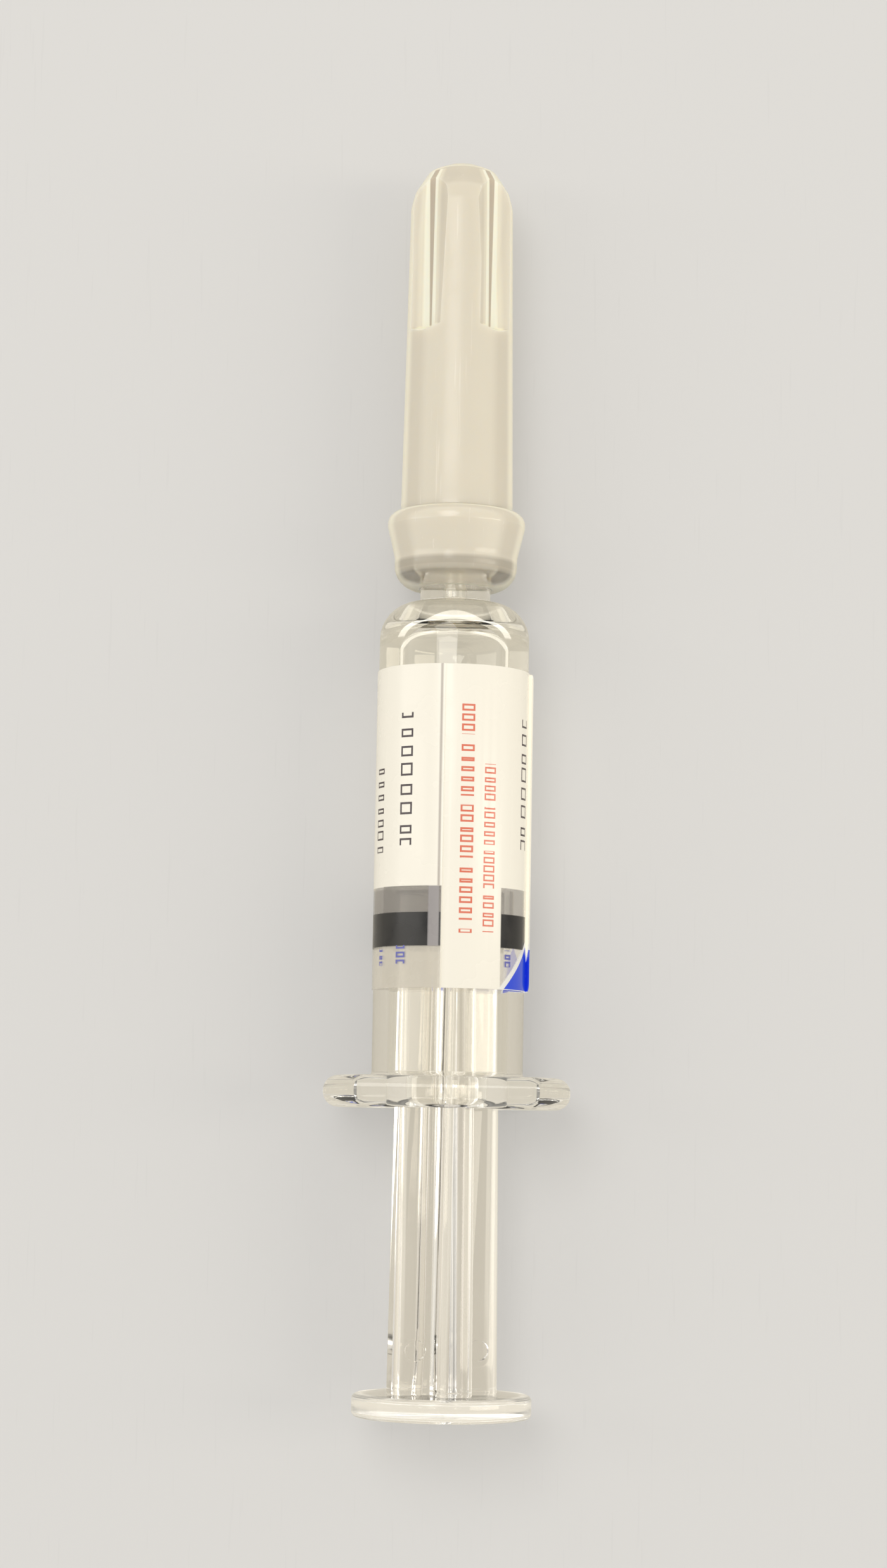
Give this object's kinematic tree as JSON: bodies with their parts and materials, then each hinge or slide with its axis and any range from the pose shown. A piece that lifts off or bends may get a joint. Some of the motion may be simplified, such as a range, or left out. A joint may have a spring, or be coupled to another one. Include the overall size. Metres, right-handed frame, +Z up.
{
  "type": "prefilled syringe",
  "caption": "Prefilled glass syringe with a cut finger flange, a ribbed plunger rod, a rubber stopper, a film label and a fluted soft shield over its fixed needle.",
  "frame": {"origin": "on the surface that the syringe lies on, halfway along its length and below its axis", "axes": "+Y along the axis towards the needle, +Z up, +X across the flange's widest extent"},
  "size_m": [0.0178, 0.091, 0.0128],
  "materials": {
    "clear_glass": "clear, fire-polished",
    "needle_steel": "bright drawn steel",
    "cured_adhesive": "clear, cured",
    "soft_shield": "milky, translucent, satin",
    "black_rubber": "satin",
    "clear_plastic": "clear, moulded",
    "label_film": "white and dark fields on a clear film",
    "clear_liquid": "clear liquid"
  },
  "bodies": {
    "barrel": {"glass_barrel": "clear_glass", "needle": "needle_steel", "needle_adhesive": "cured_adhesive", "label": "label_film", "liquid_dose": "clear_liquid"},
    "plunger": {"plunger_rod": "clear_plastic", "plunger_stopper": "black_rubber"},
    "shield": {"needle_shield": "soft_shield"}
  },
  "joints": [
    {"name": "plunger_stroke", "type": "slide", "parent": "barrel", "child": "plunger", "axis": [0, 1, 0], "range_m": [0, 0.0105], "deforming": ["liquid_dose"]},
    {"name": "shield_pull", "type": "slide", "parent": "barrel", "child": "shield", "axis": [0, 1, 0], "range_m": [0, 0.03]}
  ]
}
